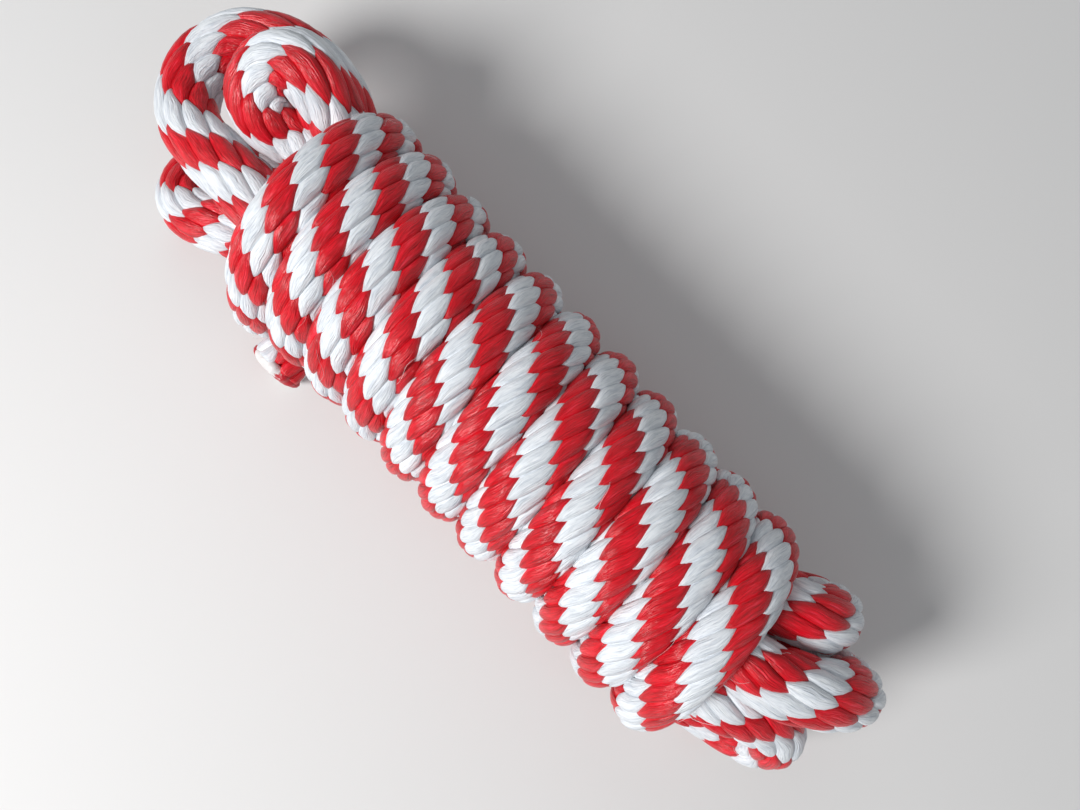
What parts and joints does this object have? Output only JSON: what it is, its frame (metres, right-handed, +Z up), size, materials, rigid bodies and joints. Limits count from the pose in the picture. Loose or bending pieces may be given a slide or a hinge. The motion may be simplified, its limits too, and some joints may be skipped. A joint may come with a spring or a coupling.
{
  "type": "rope training leash",
  "caption": "Thick solid-braid red and white rope training leash, hanked: folded into a bundle and wound round itself, with a loop at each end.",
  "frame": {"origin": "middle of the object's box in plan, on the surface that the hank lies on", "axes": "+X along the hank, from the end with the large outer bight to the end with three bights; +Z up from the surface; +Y towards the side away from the tail end"},
  "size_m": [0.2541, 0.0771, 0.064],
  "materials": {
    "rope_braid": "satin",
    "melted_end": "matte"
  },
  "bodies": {
    "root": {"wound_hank": "rope_braid", "outer_bight": "rope_braid", "inner_curl": "rope_braid", "tail_bight": "rope_braid", "middle_bight": "rope_braid", "upper_bight": "rope_braid", "lower_bight": "rope_braid", "tail_end": "rope_braid", "sealed_tip": "melted_end"}
  },
  "joints": []
}
